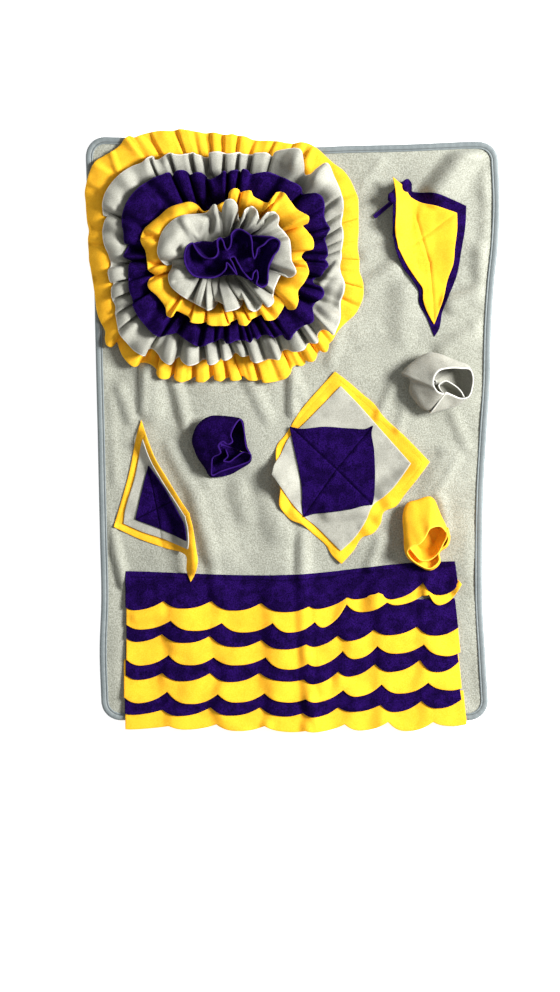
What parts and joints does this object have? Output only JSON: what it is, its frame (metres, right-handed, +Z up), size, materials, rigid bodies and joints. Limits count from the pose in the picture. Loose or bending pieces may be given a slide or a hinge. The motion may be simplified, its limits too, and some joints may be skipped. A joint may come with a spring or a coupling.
{
  "type": "snuffle mat",
  "caption": "Bound fleece mat with a gathered rosette of ruffles, layered square flaps, open pocket rolls and rows of scalloped strips for hiding treats.",
  "frame": {"origin": "the middle of the panel's underside, on the floor", "axes": "+X to the mat's right, +Y to the end with the rosette, +Z up from the floor"},
  "size_m": [0.5079, 0.738, 0.0575],
  "materials": {
    "panel": "light grey fleece with a short speckled nap",
    "tape": "pale blue-grey woven binding tape",
    "yellow": "golden yellow fleece",
    "purple": "deep violet fleece",
    "grey": "light grey fleece"
  },
  "bodies": {
    "root": {"panel": "panel", "edge_binding": "tape", "ruffle_yellow_outer": "yellow", "ruffle_grey_outer": "grey", "ruffle_purple_outer": "purple", "ruffle_yellow_inner": "yellow", "ruffle_grey_inner": "grey", "ruffle_purple_centre": "purple", "kite_purple": "purple", "kite_yellow": "yellow", "left_square_yellow": "yellow", "left_square_grey": "grey", "left_square_purple": "purple", "centre_square_yellow": "yellow", "centre_square_grey": "grey", "centre_square_purple": "purple", "roll_grey": "grey", "roll_purple": "purple", "roll_yellow": "yellow", "strip_purple_1": "purple", "strip_yellow_1": "yellow", "strip_purple_2": "purple", "strip_yellow_2": "yellow", "strip_purple_3": "purple", "strip_yellow_3": "yellow", "strip_purple_4": "purple", "strip_yellow_4": "yellow"}
  },
  "joints": []
}
